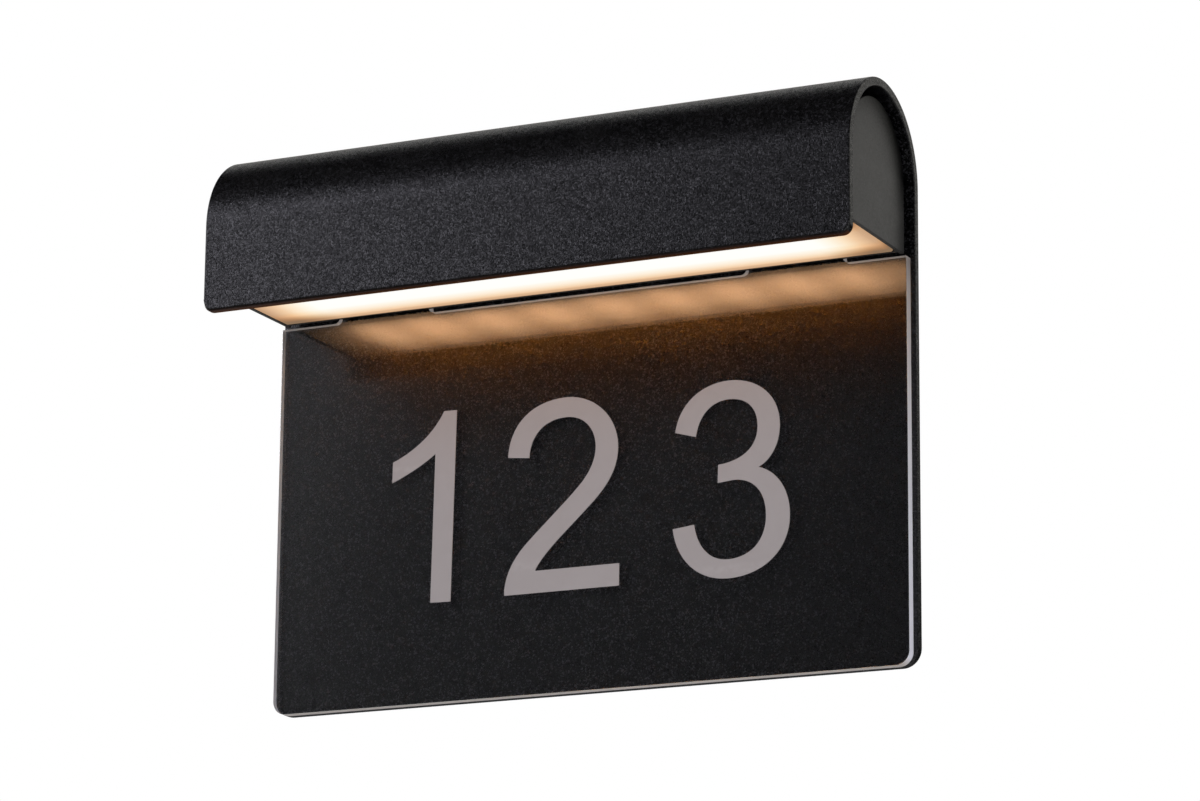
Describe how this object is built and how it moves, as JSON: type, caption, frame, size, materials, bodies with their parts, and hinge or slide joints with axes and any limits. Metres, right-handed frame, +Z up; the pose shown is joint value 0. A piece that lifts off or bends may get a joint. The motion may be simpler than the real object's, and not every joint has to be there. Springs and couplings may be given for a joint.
{
  "type": "outdoor wall light",
  "caption": "House number wall light: bent sheet body with a curved hood, a lamp with an opal diffuser under it, and a clear number plate below.",
  "frame": {"origin": "on the wall plane, midway between the two wall screws", "axes": "+X to the right when the light is looked at from the front, +Y into the wall, +Z up; metres"},
  "size_m": [0.3, 0.075, 0.24],
  "materials": {
    "powder_black": "fine textured powder coat, satin",
    "satin_grey": "smooth satin powder coat",
    "silicone": "cast silicone, matt",
    "opal_diffuser": "opal, lit from behind, satin",
    "white_coat": "white reflective coat",
    "board_white": "white solder resist",
    "diode": "yellow phosphor",
    "zinc_steel": "zinc plated",
    "driver_case": "moulded, matt",
    "terminal_nylon": "natural nylon",
    "brass": "turned",
    "black_nylon": "moulded, matt",
    "lead_green": "extruded insulation",
    "lead_brown": "extruded insulation",
    "lead_blue": "extruded insulation",
    "lead_red": "extruded insulation",
    "lead_black": "extruded insulation",
    "rubber_black": "moulded rubber, matt",
    "clear_acrylic": "clear cast acrylic, polished edges",
    "figure_grey": "matt grey film"
  },
  "bodies": {
    "root": {"body_sheet": "powder_black", "lamp_housing": "satin_grey", "end_cap_left": "satin_grey", "end_cap_right": "satin_grey", "cap_seals": "silicone", "diffuser": "opal_diffuser", "diffuser_seal": "silicone", "led_tray": "white_coat", "led_board": "board_white", "led_chips": "diode", "board_screws": "zinc_steel", "led_driver": "driver_case", "driver_screws": "zinc_steel", "terminal_block": "terminal_nylon", "terminal_screws": "brass", "block_screws": "zinc_steel", "clamp_base": "black_nylon", "clamp_bar": "black_nylon", "clamp_screws": "zinc_steel", "earth_screw": "zinc_steel", "earth_lug": "zinc_steel", "earth_lead": "lead_green", "live_lead": "lead_brown", "neutral_lead": "lead_blue", "led_plus_lead": "lead_red", "led_minus_lead": "lead_black", "housing_grommet": "rubber_black", "entry_grommet": "rubber_black", "housing_spacers": "zinc_steel", "housing_screws": "zinc_steel", "tab_grips": "rubber_black", "number_plate": "clear_acrylic", "number_one": "figure_grey", "number_two": "figure_grey", "number_three": "figure_grey"}
  },
  "joints": []
}
